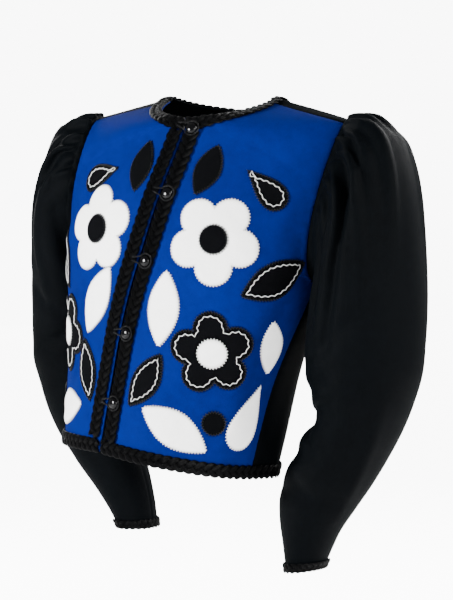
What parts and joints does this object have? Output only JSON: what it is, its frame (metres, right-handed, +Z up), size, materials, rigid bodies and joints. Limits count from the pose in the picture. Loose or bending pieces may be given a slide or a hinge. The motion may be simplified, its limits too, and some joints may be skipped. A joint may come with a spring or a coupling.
{
  "type": "bolero jacket",
  "caption": "Short edge-to-edge bolero jacket in its worn, hollow form, with full gathered sleeves, braided edges, button loops and felt flower and leaf shapes.",
  "frame": {"origin": "middle of the neck opening, level with the two points where the shoulder seams meet the neck", "axes": "+Z up the wearer's neck, -Y out of the fronts, +X towards the wearer's left"},
  "size_m": [0.6086, 0.3083, 0.601],
  "materials": {
    "wool_blue": "brushed wool cloth",
    "crepe_black": "matte wool crepe",
    "braid_black": "plaited braid",
    "felt_white": "felt",
    "felt_black": "felt",
    "button_black": "polished",
    "cord_satin": "satin cord"
  },
  "bodies": {
    "root": {"back": "crepe_black", "button_1": "button_black", "button_2": "button_black", "button_3": "button_black", "button_4": "button_black", "button_5": "button_black", "button_loop_1": "cord_satin", "button_loop_2": "cord_satin", "button_loop_3": "cord_satin", "button_loop_4": "cord_satin", "button_loop_5": "cord_satin", "cuff_braid_left": "braid_black", "cuff_braid_right": "braid_black", "felt_left_01_flower": "felt_white", "felt_left_02_disc": "felt_black", "felt_left_03_leaf": "felt_black", "felt_left_04_leaf": "felt_white", "felt_left_05_leaf": "felt_black", "felt_left_06_flower": "felt_black", "felt_left_07_disc": "felt_white", "felt_left_08_leaf": "felt_white", "felt_left_09_leaf": "felt_black", "felt_left_10_leaf": "felt_white", "felt_left_11_drop": "felt_white", "felt_left_12_disc": "felt_black", "felt_left_13_drop": "felt_black", "felt_right_01_flower": "felt_white", "felt_right_02_disc": "felt_black", "felt_right_03_leaf": "felt_black", "felt_right_04_leaf": "felt_white", "felt_right_05_leaf": "felt_black", "felt_right_06_flower": "felt_black", "felt_right_07_disc": "felt_white", "felt_right_08_leaf": "felt_white", "felt_right_09_leaf": "felt_black", "felt_right_10_leaf": "felt_white", "felt_right_11_drop": "felt_white", "felt_right_12_disc": "felt_black", "felt_right_13_drop": "felt_black", "front_braid_left": "braid_black", "front_braid_right": "braid_black", "front_left": "wool_blue", "front_right": "wool_blue", "hem_braid": "braid_black", "neck_braid": "braid_black", "sleeve_left": "crepe_black", "sleeve_right": "crepe_black"}
  },
  "joints": []
}
